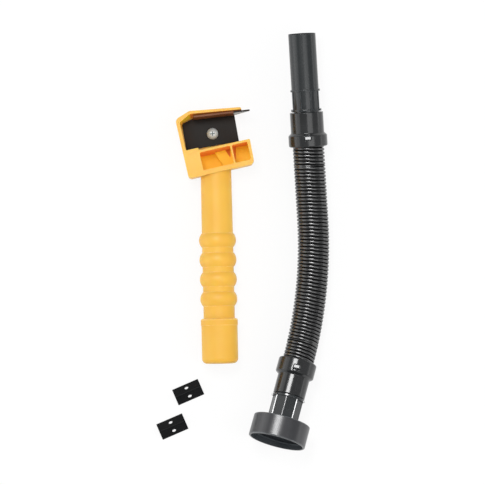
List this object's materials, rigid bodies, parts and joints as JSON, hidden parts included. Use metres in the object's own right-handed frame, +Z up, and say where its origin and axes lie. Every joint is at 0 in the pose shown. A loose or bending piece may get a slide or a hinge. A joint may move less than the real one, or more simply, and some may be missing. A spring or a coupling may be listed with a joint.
{
  "type": "flexible pouring nozzle",
  "caption": "Flexible black pouring nozzle for a fuel can, with a screw cap, corrugated hose and turning spout, laid out beside its yellow hooked can tool and spare blades.",
  "frame": {"origin": "centre of the screw cap's mouth, with the nozzle lying on a surface", "axes": "+Y along the nozzle from the cap towards the spout, +Z up from the surface, +X to the side away from the can tool"},
  "size_m": [0.1732, 0.4181, 0.0647],
  "materials": {
    "nozzle_plastic": "satin black moulded plastic",
    "cuff_plastic": "glossy black moulded plastic",
    "cap_plastic": "satin dark grey moulded plastic",
    "insert_plastic": "matt black moulded plastic",
    "collar_plastic": "glossy black moulded plastic",
    "hose_plastic": "black flexible plastic, half gloss",
    "seal_rubber": "matt black rubber",
    "ring_steel": "spring steel",
    "tool_plastic": "warm yellow moulded plastic, satin",
    "blade_steel": "black oxide on sheet steel",
    "screw_steel": "bright zinc plating",
    "nut_steel": "zinc plating",
    "spare_steel": "black oxide on sheet steel"
  },
  "bodies": {
    "base": {"adapter_neck": "nozzle_plastic", "flanged_insert": "insert_plastic", "cap_gasket": "seal_rubber", "neck_o_ring": "seal_rubber", "neck_snap_ring": "ring_steel", "lower_cuff": "cuff_plastic", "lower_hose_collar": "collar_plastic", "hose_end_lower": "hose_plastic"},
    "cap": {"screw_cap": "cap_plastic"},
    "link_01": {"hose_link_01": "hose_plastic"},
    "link_02": {"hose_link_02": "hose_plastic"},
    "link_03": {"hose_link_03": "hose_plastic"},
    "link_04": {"hose_link_04": "hose_plastic"},
    "link_05": {"hose_link_05": "hose_plastic"},
    "link_06": {"hose_link_06": "hose_plastic"},
    "link_07": {"hose_link_07": "hose_plastic"},
    "link_08": {"hose_link_08": "hose_plastic"},
    "link_09": {"hose_link_09": "hose_plastic"},
    "link_10": {"hose_link_10": "hose_plastic"},
    "link_11": {"hose_link_11": "hose_plastic"},
    "spout_holder": {"hose_end_upper": "hose_plastic", "upper_hose_collar": "collar_plastic", "upper_cuff": "cuff_plastic"},
    "spout": {"spout_tube": "nozzle_plastic", "spout_o_ring": "seal_rubber", "spout_snap_ring": "ring_steel"},
    "tool": {"tool_handle": "tool_plastic", "tool_blade": "blade_steel", "blade_screw": "screw_steel", "blade_nut": "nut_steel"},
    "spare_1": {"spare_blade_1": "spare_steel"},
    "spare_2": {"spare_blade_2": "spare_steel"}
  },
  "joints": [
    {"name": "cap_spin", "type": "hinge", "parent": "base", "child": "cap", "pos_m": [0, 0, 0], "axis": [0.2545, 0.9498, -0.1822], "continuous": true},
    {"name": "hose_bend_01", "type": "hinge", "parent": "base", "child": "link_01", "pos_m": [0.02422, 0.0904, -0.01734], "axis": [0, 0, -1], "range_deg": [-0.5, 7]},
    {"name": "hose_bend_02", "type": "hinge", "parent": "link_01", "child": "link_02", "pos_m": [0.02811, 0.10763, -0.01951], "axis": [0, 0, -1], "range_deg": [-0.5, 7]},
    {"name": "hose_bend_03", "type": "hinge", "parent": "link_02", "child": "link_03", "pos_m": [0.03131, 0.12511, -0.0206], "axis": [0, 0, -1], "range_deg": [-0.5, 7]},
    {"name": "hose_bend_04", "type": "hinge", "parent": "link_03", "child": "link_04", "pos_m": [0.03382, 0.14273, -0.0206], "axis": [0, 0, -1], "range_deg": [-0.5, 7]},
    {"name": "hose_bend_05", "type": "hinge", "parent": "link_04", "child": "link_05", "pos_m": [0.03562, 0.16044, -0.0206], "axis": [0, 0, -1], "range_deg": [-0.5, 7]},
    {"name": "hose_bend_06", "type": "hinge", "parent": "link_05", "child": "link_06", "pos_m": [0.03671, 0.17821, -0.0206], "axis": [0, 0, -1], "range_deg": [-0.5, 7]},
    {"name": "hose_bend_07", "type": "hinge", "parent": "link_06", "child": "link_07", "pos_m": [0.03708, 0.196, -0.0206], "axis": [0, 0, -1], "range_deg": [-0.5, 7]},
    {"name": "hose_bend_08", "type": "hinge", "parent": "link_07", "child": "link_08", "pos_m": [0.03674, 0.2138, -0.0206], "axis": [0, 0, -1], "range_deg": [-0.5, 7]},
    {"name": "hose_bend_09", "type": "hinge", "parent": "link_08", "child": "link_09", "pos_m": [0.03568, 0.23157, -0.0206], "axis": [0, 0, -1], "range_deg": [-0.3, 4.2]},
    {"name": "hose_bend_10", "type": "hinge", "parent": "link_09", "child": "link_10", "pos_m": [0.03463, 0.24933, -0.02014], "axis": [0, 0, -1], "range_deg": [-0.3, 4.2]},
    {"name": "hose_bend_11", "type": "hinge", "parent": "link_10", "child": "link_11", "pos_m": [0.03357, 0.26707, -0.0192], "axis": [0, 0, -1], "range_deg": [-0.3, 4.2]},
    {"name": "hose_bend_12", "type": "hinge", "parent": "link_11", "child": "spout_holder", "pos_m": [0.03252, 0.28479, -0.01781], "axis": [0, 0, -1], "range_deg": [-0.3, 4.2]},
    {"name": "spout_turn", "type": "hinge", "parent": "spout_holder", "child": "spout", "pos_m": [0.03189, 0.29539, -0.01669], "axis": [-0.059, 0.9928, 0.1045], "continuous": true},
    {"name": "tool_lift", "type": "slide", "parent": "base", "child": "tool", "axis": [0, 0, 1], "range_m": [0, 0.1]},
    {"name": "spare_lift_1", "type": "slide", "parent": "base", "child": "spare_1", "axis": [0, 0, 1], "range_m": [0, 0.1]},
    {"name": "spare_lift_2", "type": "slide", "parent": "base", "child": "spare_2", "axis": [0, 0, 1], "range_m": [0, 0.1]}
  ]
}
